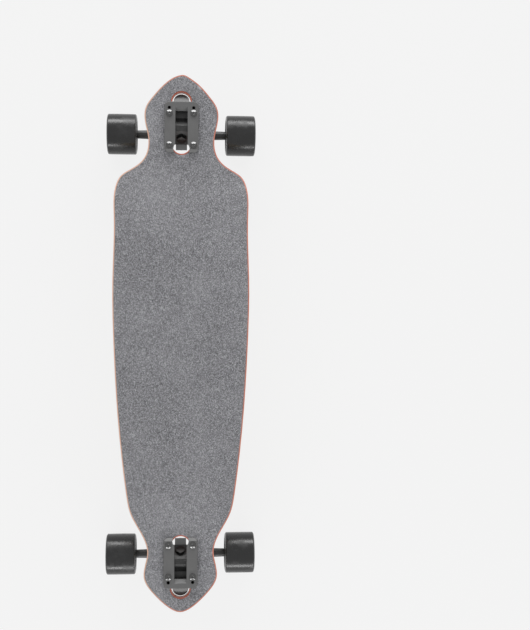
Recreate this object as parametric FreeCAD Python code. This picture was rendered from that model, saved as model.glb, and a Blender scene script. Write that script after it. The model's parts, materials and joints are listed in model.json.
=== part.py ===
import FreeCAD, Part
import math
import os

# Drop-through longboard skateboard: a laminated deck on two reverse-kingpin trucks with four wheels.
# Millimetres, +X towards the nose, +Y to the left, +Z up, origin on the ground under the deck's middle.

V = FreeCAD.Vector
UP = V(0, 0, 1)
ACROSS = V(0, 1, 0)

# Deck plan
deck_length = 915.0
nose_setback = 93.4
tail_setback = 88.5
platform_width = 230.5
platform_mid_width = 226.5
platform_rear_width = 214.0
platform_tail_width = 183.6
waist_width = 112.5
nose_shoulder_width = 125.6
tail_shoulder_width = 124.0
nose_notch_length = 98.0
tail_notch_length = 113.0
nose_waist_reach = 14.0
tail_waist_reach = 12.0

# Deck section
ply_thickness = 1.33
core_ply_count = 7
concave_depth = 10.0
camber_height = 5.0
grip_thickness = 0.8
glue_line = 0.05
grip_inset = 2.0
blank_margin = 20.0
curved_spans = 8
cross_spans = 7

# Cut-out of the deck round each truck, and the truck's hole pattern
slot_width = 31.5
slot_inner_room = 1.8
slot_outer_room = 17.0
bolt_spacing_across = 41.3
bolt_spacing_along = 54.0
spare_hole_pitch = 9.5
bolt_hole_room = 0.35

# Mounting bolts and nuts
bolt_diameter = 4.8
bolt_head_diameter = 11.4
bolt_head_height = 4.0
bolt_tail = 2.0
bolt_socket_width = 3.2
bolt_socket_depth = 2.2
mounting_nut_width = 9.5
mounting_nut_height = 6.0
thread_clearance = 0.02

# Baseplate
flange_side_margin = 8.35
flange_inner_margin = 12.0
flange_outer_margin = 10.5
flange_thickness = 6.2
flange_corner = 8.0
flange_edge = 1.0
flange_bevel_length = 5.0
flange_bevel_drop = 4.0
flange_relief_diameter = 27.5
flange_relief_setback = 6.0
tongue_room = 2.25
tongue_drop = 17.8
tongue_slant = 8.0
tongue_top_drop = 7.0
channel_room = 3.05
channel_outer_margin = 9.0
channel_step_length = 6.0
channel_step_drop = 7.0
channel_floor_drop = 10.0
channel_saddle_drop = 5.6
tower_back_reach = 25.5

# Steering gear: the ring of the hanger sits between two bushings on the kingpin
steer_angle = 50.0
ring_reach = 7.0
ring_drop = 28.3
axle_drop = 54.8
ring_rim = 2.25
ring_thickness = 8.0
ring_slack = 3.25
ring_room = 2.0
kingpin_diameter = 9.5
kingpin_clearance = 0.05
kingpin_tail = 2.5
kingpin_head_width = 14.3
kingpin_head_height = 6.0
kingpin_nut_height = 8.0
bushing_diameter = 23.5
bushing_cone_diameter = 18.5
bushing_height = 13.0
bushing_room = 0.5
washer_rim = 0.75
washer_thickness = 2.0
seat_wall = 7.0

# Pivot at the lower end of the steering axis
pivot_diameter = 11.0
pivot_reach = 7.0
pivot_clearance = 0.05
pivot_root_flare = 3.0
cup_wall = 1.6
cup_floor = 1.3
housing_wall = 2.6
housing_floor = 2.2
hanger_room = 0.5

# Hanger and axle
hanger_width = 180.0
hanger_boss_wall = 3.2
hanger_shoulder_wall = 5.0
hanger_end_wall = 2.7
hanger_web_width = 104.0
hanger_web_thickness = 8.0
axle_diameter = 8.0
axle_tail = 2.5
axle_nut_width = 12.7
axle_nut_height = 6.5
speed_ring_wall = 2.5
speed_ring_thickness = 1.0

# Wheels
wheel_diameter = 70.0
wheel_width = 51.0
tread_width = 45.0
lip_diameter = 57.5
dish_depth = 5.0
core_diameter = 34.0
core_side_room = 8.0
core_lip_wall = 1.5
core_lip_length = 6.0
core_land = 1.75

# Bearings of the common 8 x 22 x 7 size
bearing_diameter = 22.0
bearing_width = 7.0
ball_diameter = 3.97
ball_count = 7
ball_clearance = 0.03
race_gap = 4.8
shield_thickness = 0.4
shield_setback = 0.3
shield_clearance = 0.2
spacer_length = 10.0
spacer_wall = 1.5

# Plan sizes that follow
axle_station = {"front": deck_length / 2 - nose_setback, "rear": tail_setback - deck_length / 2}
spare_hole_reach = bolt_spacing_along / 2 + spare_hole_pitch
bolt_hole_diameter = bolt_diameter + 2 * bolt_hole_room
flange_width = bolt_spacing_across + 2 * flange_side_margin
flange_inner_reach = bolt_spacing_along / 2 + flange_inner_margin
flange_outer_reach = spare_hole_reach + flange_outer_margin
slot_inner_reach = flange_inner_reach + slot_inner_room
slot_outer_reach = flange_outer_reach + slot_outer_room
tongue_width = slot_width - 2 * tongue_room
tongue_reach = slot_outer_reach - tongue_room
channel_width = kingpin_head_width + 2 * channel_room
channel_outer_reach = flange_outer_reach - channel_outer_margin

# Round sizes that follow
ring_diameter = bushing_diameter + 2 * ring_rim
ring_bore = kingpin_diameter + 2 * ring_slack
washer_diameter = bushing_diameter + 2 * washer_rim
pivot_root_diameter = pivot_diameter + 2 * pivot_root_flare
hanger_boss_diameter = axle_diameter + 2 * hanger_boss_wall
hanger_shoulder_diameter = axle_diameter + 2 * hanger_shoulder_wall
hanger_end_diameter = axle_diameter + 2 * hanger_end_wall
bearing_bore = axle_diameter
ball_pitch_diameter = (bearing_bore + bearing_diameter) / 2
inner_race_diameter = ball_pitch_diameter - race_gap / 2
outer_race_bore = ball_pitch_diameter + race_gap / 2
speed_ring_diameter = axle_diameter + 2 * speed_ring_wall
spacer_diameter = axle_diameter + 2 * spacer_wall
core_width = spacer_length + 2 * (bearing_width + core_side_room)
core_land_diameter = bearing_diameter - 2 * core_land
core_lip_diameter = bearing_diameter + 2 * core_lip_wall

# Heights that follow
axle_height = wheel_diameter / 2
flange_seat = axle_height + axle_drop
deck_top = flange_seat - grip_thickness
ply_count = core_ply_count + 2
deck_bottom = deck_top - ply_count * ply_thickness
flange_top = flange_seat + flange_thickness

# Directions in the truck's upright middle plane, with x outward from the middle of the bolt pattern
steer = math.radians(steer_angle)
down_axis = V(-math.cos(steer), 0, -math.sin(steer))
down_pin = V(math.sin(steer), 0, -math.cos(steer))
ring_centre = V(ring_reach, 0, flange_seat - ring_drop)
axle_centre = V(0, 0, axle_height)
axle_along = (axle_centre - ring_centre).dot(down_axis)

# Stack on the kingpin, measured from the ring's middle towards the nut
ring_half = ring_thickness / 2
bushing_far = ring_half + bushing_height
washer_far = bushing_far + washer_thickness
head_seat = washer_far + seat_wall
nut_far = washer_far + kingpin_nut_height

# Stack on the steering axis, measured from the ring's middle towards the pivot
housing_start = axle_along + hanger_boss_diameter / 2 + hanger_room
pivot_tip = housing_start + pivot_reach
cup_end = pivot_tip + pivot_clearance + cup_floor
housing_end = cup_end + housing_floor
cup_diameter = pivot_diameter + 2 * cup_wall
housing_diameter = cup_diameter + 2 * housing_wall

# Stack on the axle, measured from the board's middle plane
inner_bearing_start = hanger_width / 2 + speed_ring_thickness
spacer_start = inner_bearing_start + bearing_width
outer_bearing_start = spacer_start + spacer_length
bearings_end = outer_bearing_start + bearing_width
wheel_middle = spacer_start + spacer_length / 2
axle_nut_start = bearings_end + speed_ring_thickness
axle_end = axle_nut_start + axle_nut_height + axle_tail


def in_plane(along, below):
    """Point of the truck's middle plane, along the steering axis and along the kingpin from the ring."""
    return ring_centre + down_axis * along + down_pin * below


def at_height(along, height):
    """Point of the square section through the steering axis at one station that lies at a height."""
    start = in_plane(along, 0)
    return start + down_pin * ((height - start.z) / down_pin.z)


def rod(diameter, start, end):
    """Round rod between two points."""
    return Part.makeCylinder(diameter / 2, (end - start).Length, start, end - start)


def tapered_rod(start_diameter, end_diameter, start, end):
    """Round tapered rod between two points."""
    return Part.makeCone(start_diameter / 2, end_diameter / 2, (end - start).Length, start, end - start)


def tube(outer, inner, start, end):
    """Round tube between two points."""
    return rod(outer, start, end).cut(rod(inner, start, end))


def pin_rod(diameter, start, end):
    """Round rod on the kingpin's line."""
    return rod(diameter, in_plane(0, start), in_plane(0, end))


def hex_bar(width, start, end):
    """Hexagonal bar between two points, with its corners turned off at both ends."""
    length = (end - start).Length
    corner = width / math.sqrt(3)
    points = [V(corner * math.cos(math.radians(60 * k)), corner * math.sin(math.radians(60 * k)), 0)
              for k in range(7)]
    bar = Part.Face(Part.makePolygon(points)).extrude(V(0, 0, length))
    lost = corner - width / 2
    turned = Part.makeCylinder(corner, length)
    rim = [edge for edge in turned.Edges if len(edge.Vertexes) == 1]
    bar = bar.common(turned.makeChamfer(lost / 2, lost, rim))
    bar.Placement = FreeCAD.Placement(start, FreeCAD.Rotation(V(0, 0, 1), end - start))
    return bar


def plate(points, width):
    """Flat piece of the middle plane, as wide as given and centred on it."""
    profile = Part.Face(Part.makePolygon(points + points[:1]))
    solid = profile.extrude(V(0, width, 0))
    solid.translate(V(0, -width / 2, 0))
    return solid


def fused(shapes):
    """One solid from overlapping shapes."""
    return shapes[0].multiFuse(shapes[1:]).removeSplitter()


def stadium(width, inner_reach, outer_reach, low, high):
    """Upright prism with round ends that reaches inward and outward from the bolt pattern's middle."""
    radius = width / 2
    inner = radius - inner_reach
    outer = outer_reach - radius
    left = Part.LineSegment(V(outer, radius, low), V(inner, radius, low))
    inner_end = Part.Arc(V(inner, radius, low), V(-inner_reach, 0, low), V(inner, -radius, low))
    right = Part.LineSegment(V(inner, -radius, low), V(outer, -radius, low))
    outer_end = Part.Arc(V(outer, -radius, low), V(outer_reach, 0, low), V(outer, radius, low))
    wire = Part.Wire([piece.toShape() for piece in (left, inner_end, right, outer_end)])
    return Part.Face(wire).extrude(V(0, 0, high - low))


def hole_places():
    """Plan positions of the four bolts of a truck."""
    return [V(side * bolt_spacing_along / 2, hand * bolt_spacing_across / 2, 0)
            for side in (-1, 1) for hand in (-1, 1)]


def spare_places():
    """Plan positions of the two unused holes of a truck."""
    return [V(spare_hole_reach, hand * bolt_spacing_across / 2, 0) for hand in (-1, 1)]


def truck_holes(low, high):
    """Rods that cut all six holes of a truck."""
    return [rod(bolt_hole_diameter, place + UP * low, place + UP * high)
            for place in hole_places() + spare_places()]


def at_end(shape, end):
    """Copy of a truck-frame shape at the front or the rear of the board."""
    moved = shape.copy()
    if end == "rear":
        moved.rotate(V(0, 0, 0), UP, 180)
    moved.translate(V(axle_station[end], 0, 0))
    return moved


def half_outline():
    """Stations from nose to tail with the half width of the deck at each."""
    front = axle_station["front"]
    rear = axle_station["rear"]
    nose = [(1, 0), (0.95, 0.11), (0.84, 0.224), (0.6, 0.388), (0.38, 0.488), (0.27, 0.5)]
    nose_notch = [(0.49, 0.109), (0.673, 0.437), (0.816, 0.786), (1, 0.93)]
    tail_notch = [(0.708, 0.807), (0.416, 0.315)]
    tail = [(0.33, 0.5), (0.67, 0.35), (0.9, 0.17), (1, 0)]
    nose_flank = front - nose_notch_length
    tail_flank = rear + tail_notch_length
    nose_step = (platform_width - waist_width) / 2
    tail_step = (platform_tail_width - waist_width) / 2
    places = [(front + along * nose_setback, across * nose_shoulder_width) for along, across in nose]
    places += [(front - nose_waist_reach, waist_width / 2)]
    places += [(front - along * nose_notch_length, waist_width / 2 + across * nose_step)
               for along, across in nose_notch]
    places += [
        (0.81 * nose_flank, 0.492 * platform_width),
        (0.4 * nose_flank, platform_width / 2),
        (0, platform_mid_width / 2),
        (0.435 * tail_flank, platform_rear_width / 2),
        (0.756 * tail_flank, (platform_rear_width + platform_tail_width) / 4),
        (tail_flank, platform_tail_width / 2),
    ]
    places += [(rear + along * tail_notch_length, waist_width / 2 + across * tail_step)
               for along, across in tail_notch]
    places += [(rear + tail_waist_reach, waist_width / 2)]
    places += [(rear - along * tail_setback, across * tail_shoulder_width) for along, across in tail]
    return [V(along, across, 0) for along, across in places]


def outline_face(inset):
    """Plan of the deck, drawn in from its edge by an inset."""
    edge_points = half_outline()
    moved = [V(edge_points[0].x - inset, 0, 0)]
    for before, point, after in zip(edge_points, edge_points[1:], edge_points[2:]):
        run = (after - before).normalize()
        outward = V(run.y, -run.x, 0)
        moved.append(point - outward * inset)
    moved.append(V(edge_points[-1].x + inset, 0, 0))
    mirrored = [V(point.x, -point.y, 0) for point in reversed(moved[1:-1])]
    loop = Part.BSplineCurve()
    loop.interpolate(Points=moved + mirrored, PeriodicFlag=True)
    return Part.Face(Part.Wire([loop.toShape()]))


def pole_places(knots):
    """Places of a cubic spline's poles that make it run evenly from knot to knot."""
    padded = knots[:1] * 2 + knots + knots[-1:] * 2
    return [sum(padded[number:number + 3]) / 3 for number in range(len(knots) + 2)]


def polygon_height(corners, place):
    """Height over a place on a row of (place, height) corners, level past the last one."""
    for (start, start_height), (end, end_height) in zip(corners, corners[1:]):
        if place <= end:
            return start_height + (end_height - start_height) * (place - start) / (end - start)
    return corners[-1][1]


def deck_slab(low, thickness):
    """Curved sheet over the whole plan: flat over the trucks, hollow and arched between them."""
    half = platform_width / 2
    flat_end = 1 - 1 / curved_spans
    arch = [(0, 1), (0.28, 0.92), (0.46, 0.72), (0.73, 0.3), (flat_end, 0)]
    hollow = [(0, 1), (0.73, 1), (flat_end, 0)]
    rise = [(0, 0), (0.17, 0), (0.5, 0.15), (0.9, 0.82), (1.15, 1.4)]
    nose_flat = axle_station["front"] - flange_inner_reach
    tail_flat = axle_station["rear"] + flange_inner_reach
    blank_end = deck_length / 2 + blank_margin
    steps = [number / curved_spans for number in range(1, curved_spans + 1)]
    along = [-blank_end] + [step * tail_flat for step in reversed(steps)] + [0]
    along += [step * nose_flat for step in steps] + [blank_end]
    edge = half * rise[-1][0]
    across = [edge * (2 * number / cross_spans - 1) for number in range(cross_spans + 1)]
    ups = [(y, polygon_height(rise, abs(y) / half)) for y in pole_places(across)]
    poles = []
    for x in pole_places(along):
        share = max(x / nose_flat, x / tail_flat)
        middle = low + camber_height * polygon_height(arch, share)
        cup = concave_depth * polygon_height(hollow, share)
        poles.append([V(x, y, middle + cup * up) for y, up in ups])
    surface = Part.BSplineSurface()
    surface.buildFromPolesMultsKnots(
        poles,
        [4] + [1] * (len(along) - 2) + [4],
        [4] + [1] * (len(across) - 2) + [4],
        along,
        across,
        False, False, 3, 3)
    return surface.toShape().extrude(V(0, 0, thickness))


def deck_prism(inset):
    """Upright prism of the deck's plan with the truck cut-outs and bolt holes through it."""
    low = deck_bottom - tongue_drop
    high = flange_top + concave_depth * 2
    prism = outline_face(inset).extrude(V(0, 0, high - low))
    prism.translate(V(0, 0, low))
    slot = stadium(slot_width + 2 * inset, slot_inner_reach + inset, slot_outer_reach + inset, low, high)
    cutters = [slot] + truck_holes(low, high)
    for end in ("front", "rear"):
        prism = prism.cut([at_end(cutter, end) for cutter in cutters])
    return prism


def build_deck():
    """Plies of the deck from the bottom up, and the grip tape on top."""
    prism = deck_prism(0)
    plies = [deck_slab(deck_bottom + number * ply_thickness, ply_thickness).common(prism)
             for number in range(ply_count)]
    core = plies[1:-1]
    grip = deck_slab(deck_top + glue_line, grip_thickness - glue_line)
    return {
        "bottom_veneer": plies[:1],
        "long_grain_plies": [ply for number, ply in enumerate(core) if number % 3 != 1],
        "cross_grain_plies": [ply for number, ply in enumerate(core) if number % 3 == 1],
        "top_veneer": plies[-1:],
        "grip_tape": [grip.common(deck_prism(grip_inset))],
    }


def build_flange():
    """Top plate of the baseplate, with a long bevel and a round relief at its inner end."""
    length = flange_inner_reach + flange_outer_reach
    block = Part.makeBox(length, flange_width, flange_thickness,
                         V(-flange_inner_reach, -flange_width / 2, flange_seat))
    corners = [edge for edge in block.Edges if abs(edge.tangentAt(edge.FirstParameter).z) > 0.9]
    block = block.makeFillet(flange_corner, corners)
    top = [edge for edge in block.Edges if edge.BoundBox.ZMin > flange_top - 0.01]
    block = block.makeChamfer(flange_edge, top)
    bevel = plate([V(-flange_inner_reach, 0, flange_top - flange_bevel_drop),
                   V(flange_bevel_length - flange_inner_reach, 0, flange_top),
                   V(-flange_inner_reach, 0, flange_top)], flange_width)
    relief_middle = V(flange_relief_setback - flange_inner_reach, 0, 0)
    relief = rod(flange_relief_diameter, relief_middle + UP * flange_seat, relief_middle + UP * flange_top)
    return block.cut([bevel, relief])


def build_baseplate():
    """Flange on top of the deck, with the trough, kingpin seat and pivot housing that hang below it."""
    ring_reach_up = ring_diameter / 2 + ring_room
    seat_low = in_plane(ring_diameter / 2, -washer_far)
    under = at_height(-ring_reach_up, flange_seat - tongue_drop)
    back = -tower_back_reach
    trough = plate([
        V(back, 0, flange_seat + flange_thickness / 2),
        in_plane(ring_diameter / 2, -head_seat),
        seat_low,
        in_plane(-ring_reach_up, -washer_far),
        under,
        V(tongue_reach - tongue_slant, 0, flange_seat - tongue_drop),
        V(tongue_reach, 0, flange_seat - tongue_drop + tongue_slant),
        V(tongue_reach, 0, flange_seat - tongue_top_drop),
        V(flange_outer_reach, 0, flange_seat),
        V(flange_outer_reach - flange_edge, 0, flange_seat + flange_thickness / 2)], tongue_width)
    trough = trough.common(stadium(tongue_width, tower_back_reach + tongue_width / 2, tongue_reach,
                                   flange_seat - tongue_drop - flange_width, flange_top))
    tower = plate([
        in_plane(ring_diameter / 2 - ring_room, -head_seat),
        in_plane(ring_diameter / 2 - ring_room, -washer_far),
        seat_low,
        in_plane(housing_start - pivot_reach, -pivot_root_diameter / 2 - ring_room),
        in_plane(housing_start, -cup_diameter / 2),
        in_plane(cup_end, -cup_diameter / 2),
        in_plane(cup_end, -housing_diameter / 2),
        in_plane(housing_start - pivot_reach, -washer_far)], housing_diameter)
    housing = rod(housing_diameter, in_plane(housing_start, 0), in_plane(housing_end, 0))
    housing_rim = [edge for edge in housing.Edges if len(edge.Vertexes) == 1
                   and (edge.CenterOfMass - in_plane(housing_end, 0)).Length < 0.01]
    housing = housing.makeChamfer(housing_floor, housing_rim)
    body = fused([build_flange(), trough, tower, housing])
    saddle = flange_top - channel_saddle_drop
    floor = flange_seat - channel_floor_drop
    pocket_top = in_plane(-ring_reach_up, -head_seat)
    pocket_end = in_plane(ring_diameter, -head_seat)
    channel = plate([
        V(channel_outer_reach, 0, flange_top + 1),
        V(channel_outer_reach, 0, flange_top),
        V(channel_outer_reach - channel_step_length, 0, flange_top - channel_step_drop),
        V(channel_outer_reach - channel_step_length, 0, floor),
        V(under.x + ring_room, 0, floor),
        V(ring_reach, 0, saddle),
        V(pocket_top.x + (pocket_top.z - saddle) / down_axis.z * down_axis.x, 0, saddle),
        pocket_end,
        V(pocket_end.x - flange_width, 0, pocket_end.z),
        V(pocket_end.x - flange_width, 0, flange_top + 1)], channel_width)
    cutters = [
        channel,
        pin_rod(kingpin_diameter + 2 * kingpin_clearance, -head_seat - seat_wall, 0),
        rod(cup_diameter, in_plane(housing_start - hanger_room, 0), in_plane(cup_end, 0)),
    ]
    return body.cut(cutters + truck_holes(flange_seat - 1, flange_top + 1)).removeSplitter()


def build_pivot_cup():
    """Plastic cup in the baseplate's housing that the hanger's pivot turns in."""
    body = rod(cup_diameter, in_plane(housing_start, 0), in_plane(cup_end, 0))
    return body.cut(pivot_shape(pivot_diameter + 2 * pivot_clearance, pivot_tip + pivot_clearance))


def pivot_shape(diameter, tip):
    """Straight pivot with a round end at a station on the steering axis."""
    end = in_plane(tip - diameter / 2, 0)
    return fused([rod(diameter, in_plane(axle_along, 0), end), Part.makeSphere(diameter / 2, end)])


def build_kingpin():
    """Steering bolt: hex head in the baseplate's pocket, thread end past the nut."""
    head_top = in_plane(0, -head_seat - kingpin_head_height)
    head = hex_bar(kingpin_head_width, head_top, in_plane(0, -head_seat))
    shank = pin_rod(kingpin_diameter, -head_seat - 1, nut_far + kingpin_tail)
    rim = [edge for edge in shank.Edges if len(edge.Vertexes) == 1
           and (edge.CenterOfMass - in_plane(0, nut_far + kingpin_tail)).Length < 0.01]
    return fused([head, shank.makeChamfer(kingpin_tail / 3, rim)])


def build_hanger():
    """Cast hanger: bushing ring, webs down to the axle arms, and the pivot."""
    ring = pin_rod(ring_diameter, -ring_half, ring_half)
    arm_end = hanger_width / 2
    web_half = hanger_web_width / 2
    neck = housing_diameter / 2 + hanger_shoulder_diameter / 2
    arms = []
    for hand in (-1, 1):
        at = [axle_centre + ACROSS * (hand * reach) for reach in (0, housing_diameter / 4, neck, arm_end)]
        arms.append(rod(hanger_boss_diameter, at[0], at[1]))
        arms.append(tapered_rod(hanger_boss_diameter, hanger_shoulder_diameter, at[1], at[2]))
        arms.append(tapered_rod(hanger_shoulder_diameter, hanger_end_diameter, at[2], at[3]))
    lift = (ring_centre - axle_centre).normalize()
    thick = lift.cross(ACROSS) * hanger_web_thickness
    top_half = ring_diameter / 2
    shoulder = ring_centre - lift * (ring_bore / 2)
    web_points = [shoulder - ACROSS * top_half * 0.8, shoulder + ACROSS * top_half * 0.8,
                  axle_centre + ACROSS * web_half, axle_centre - ACROSS * web_half]
    web = Part.Face(Part.makePolygon(web_points + web_points[:1])).extrude(thick)
    web.translate(thick * -0.5)
    root = tapered_rod(pivot_root_diameter, pivot_diameter,
                       in_plane(ring_diameter / 4, 0), in_plane(housing_start - hanger_room, 0))
    body = fused([ring, web, root, pivot_shape(pivot_diameter, pivot_tip)] + arms)
    bore = pin_rod(ring_bore, -ring_diameter, ring_diameter)
    axle_hole = rod(axle_diameter, axle_centre - ACROSS * hanger_width, axle_centre + ACROSS * hanger_width)
    bushing_seats = [pin_rod(bushing_diameter + 2 * bushing_room, hand * ring_half, hand * washer_far)
                     for hand in (-1, 1)]
    return body.cut([bore, axle_hole] + bushing_seats)


def build_bolts():
    """Four mounting bolts with domed heads on the flange."""
    tail_end = deck_bottom - mounting_nut_height - bolt_tail
    base = bolt_head_diameter / 2
    dome_radius = (base * base + bolt_head_height * bolt_head_height) / (2 * bolt_head_height)
    bolts = []
    for place in hole_places():
        seat = place + UP * flange_top
        dome = Part.makeSphere(dome_radius, seat + UP * (bolt_head_height - dome_radius))
        head = dome.common(rod(bolt_head_diameter, seat, seat + UP * bolt_head_height))
        crown = seat + UP * bolt_head_height
        socket = hex_bar(bolt_socket_width, crown - UP * bolt_socket_depth, crown + UP * bolt_socket_depth)
        bolts.append(fused([head, rod(bolt_diameter, place + UP * tail_end, seat + UP)]).cut(socket))
    return bolts


def build_mounting_nuts():
    """Four lock nuts under the deck."""
    bore = bolt_diameter + 2 * thread_clearance
    nuts = []
    for place in hole_places():
        low = place + UP * (deck_bottom - mounting_nut_height)
        high = place + UP * deck_bottom
        nuts.append(hex_bar(mounting_nut_width, low, high).cut(rod(bore, low, high)))
    return nuts


def build_truck():
    """All pieces of one truck, in the truck's own frame."""
    pin_bore = kingpin_diameter + 2 * kingpin_clearance
    pin_room = rod(pin_bore, in_plane(0, -head_seat), in_plane(0, nut_far))
    boardside = pin_rod(bushing_diameter, -bushing_far, -ring_half)
    roadside = tapered_rod(bushing_diameter, bushing_cone_diameter,
                           in_plane(0, ring_half), in_plane(0, bushing_far))
    washers = [pin_rod(washer_diameter, -washer_far, -bushing_far),
               pin_rod(bushing_cone_diameter + 2 * washer_thickness, bushing_far, washer_far)]
    nut = hex_bar(kingpin_head_width, in_plane(0, washer_far), in_plane(0, nut_far))
    thread_room = pin_rod(kingpin_diameter + 2 * thread_clearance, washer_far, nut_far)
    axle_nuts = []
    speed_rings = []
    for hand in (-1, 1):
        near = axle_centre + ACROSS * (hand * axle_nut_start)
        far = axle_centre + ACROSS * (hand * (axle_nut_start + axle_nut_height))
        axle_nuts.append(hex_bar(axle_nut_width, near, far).cut(
            rod(axle_diameter + 2 * thread_clearance, near, far)))
        for reach in (hanger_width / 2, bearings_end):
            inside = axle_centre + ACROSS * (hand * reach)
            outside = axle_centre + ACROSS * (hand * (reach + speed_ring_thickness))
            speed_rings.append(tube(speed_ring_diameter, axle_diameter + 2 * thread_clearance,
                                    inside, outside))
    axle = rod(axle_diameter, axle_centre - ACROSS * axle_end, axle_centre + ACROSS * axle_end)
    ends = [edge for edge in axle.Edges if len(edge.Vertexes) == 1]
    return {
        "baseplate": [build_baseplate()],
        "pivot_cup": [build_pivot_cup()],
        "kingpin": [build_kingpin()],
        "kingpin_nut": [nut.cut(thread_room)],
        "boardside_bushing": [boardside.cut(pin_room)],
        "roadside_bushing": [roadside.cut(pin_room)],
        "bushing_washers": [washer.cut(pin_room) for washer in washers],
        "mounting_bolts": build_bolts(),
        "mounting_nuts": build_mounting_nuts(),
        "hanger": [build_hanger()],
        "axle": [axle.makeChamfer(axle_tail / 3, ends)],
        "axle_nuts": axle_nuts,
        "speed_rings": speed_rings,
    }


def turned(points, arcs=()):
    """Solid turned round the axle line from a profile of (radius, station) corners.

    An entry of arcs maps the index of a corner to the middle point of the arc that leaves it.
    """
    corners = [V(radius, station, 0) for radius, station in points]
    edges = []
    for index, corner in enumerate(corners):
        following = corners[(index + 1) % len(corners)]
        if index in arcs:
            radius, station = arcs[index]
            edges.append(Part.Arc(corner, V(radius, station, 0), following).toShape())
        else:
            edges.append(Part.LineSegment(corner, following).toShape())
    return Part.Face(Part.Wire(edges)).revolve(V(0, 0, 0), ACROSS, 360)


def build_tyre():
    """Urethane tyre with round lips and dished sides."""
    side = wheel_width / 2
    tread = tread_width / 2
    rim = wheel_diameter / 2
    lip = lip_diameter / 2
    mouth = core_lip_diameter / 2
    seat = core_diameter / 2
    shoulder = core_width / 2 - core_lip_length
    bow_radius = lip + (rim - lip) * math.sqrt(0.5)
    bow_side = tread + (side - tread) * math.sqrt(0.5)
    points = [(mouth, side - dish_depth), (lip, side), (rim, tread), (rim, -tread), (lip, -side),
              (mouth, dish_depth - side), (mouth, -shoulder), (seat, -shoulder), (seat, shoulder),
              (mouth, shoulder)]
    return turned(points, {1: (bow_radius, bow_side), 3: (bow_radius, -bow_side)})


def build_core():
    """Hub core that the tyre is cast on, with a thin lip and a bearing seat at each end."""
    side = core_width / 2
    shoulder = side - core_lip_length
    land = spacer_length / 2
    seat = bearing_diameter / 2
    middle = core_land_diameter / 2
    lip = core_lip_diameter / 2
    rim = core_diameter / 2
    return turned([(seat, side), (lip, side), (lip, shoulder), (rim, shoulder), (rim, -shoulder),
                   (lip, -shoulder), (lip, -side), (seat, -side), (seat, -land), (middle, -land),
                   (middle, land), (seat, land)])


def bearing_middles():
    """Stations of the two bearings of a wheel, from the wheel's middle."""
    reach = spacer_length / 2 + bearing_width / 2
    return [ACROSS * -reach, ACROSS * reach]


def race(outer, inner, middle):
    """One race of a bearing, with the groove that its balls run in."""
    half = ACROSS * (bearing_width / 2)
    groove = Part.makeTorus(ball_pitch_diameter / 2, ball_diameter / 2 + ball_clearance, middle, ACROSS)
    return tube(outer, inner, middle - half, middle + half).cut(groove)


def build_balls(middle):
    """Balls of one bearing, evenly spaced round its pitch circle."""
    balls = []
    for number in range(ball_count):
        turn = 2 * math.pi * number / ball_count
        spot = V(math.cos(turn), 0, math.sin(turn)) * (ball_pitch_diameter / 2)
        balls.append(Part.makeSphere(ball_diameter / 2, middle + spot))
    return balls


def build_shields(middle):
    """Thin shields that close both sides of one bearing."""
    shields = []
    for hand in (-1, 1):
        outside = middle + ACROSS * (hand * (bearing_width / 2 - shield_setback))
        inside = outside - ACROSS * (hand * shield_thickness)
        shields.append(tube(outer_race_bore, inner_race_diameter + 2 * shield_clearance, inside, outside))
    return shields


def build_wheel():
    """All pieces of one wheel about its own middle, with the outer side towards +Y."""
    middles = bearing_middles()
    half_spacer = ACROSS * (spacer_length / 2)
    return {
        "tyre": [build_tyre()],
        "core": [build_core()],
        "bearing_outer_races": [race(bearing_diameter, outer_race_bore, middle) for middle in middles],
        "bearing_inner_races": [race(inner_race_diameter, bearing_bore, middle) for middle in middles],
        "bearing_balls": [ball for middle in middles for ball in build_balls(middle)],
        "bearing_shields": [shield for middle in middles for shield in build_shields(middle)],
        "bearing_spacer": [tube(spacer_diameter, bearing_bore, -half_spacer, half_spacer)],
    }


def export(name, solids):
    """Write one named piece, or a group of like pieces, as a STEP file."""
    shape = solids[0] if len(solids) == 1 else Part.makeCompound(solids)
    shape.exportStep("parts/" + name + ".step")


def main():
    """Build every piece at its place on the board and write it."""
    os.makedirs("parts", exist_ok=True)
    for name, solids in build_deck().items():
        export(name, solids)
    truck = build_truck()
    wheel = build_wheel()
    for end in ("front", "rear"):
        for name, solids in truck.items():
            export(end + "_" + name, [at_end(solid, end) for solid in solids])
        for side, hand in (("left", 1), ("right", -1)):
            for name, solids in wheel.items():
                placed = []
                for solid in solids:
                    copy = solid.copy()
                    if hand < 0:
                        copy.rotate(V(0, 0, 0), UP, 180)
                    copy.translate(V(axle_station[end], hand * wheel_middle, axle_height))
                    placed.append(copy)
                export(end + "_" + side + "_" + name, placed)


main()
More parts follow.
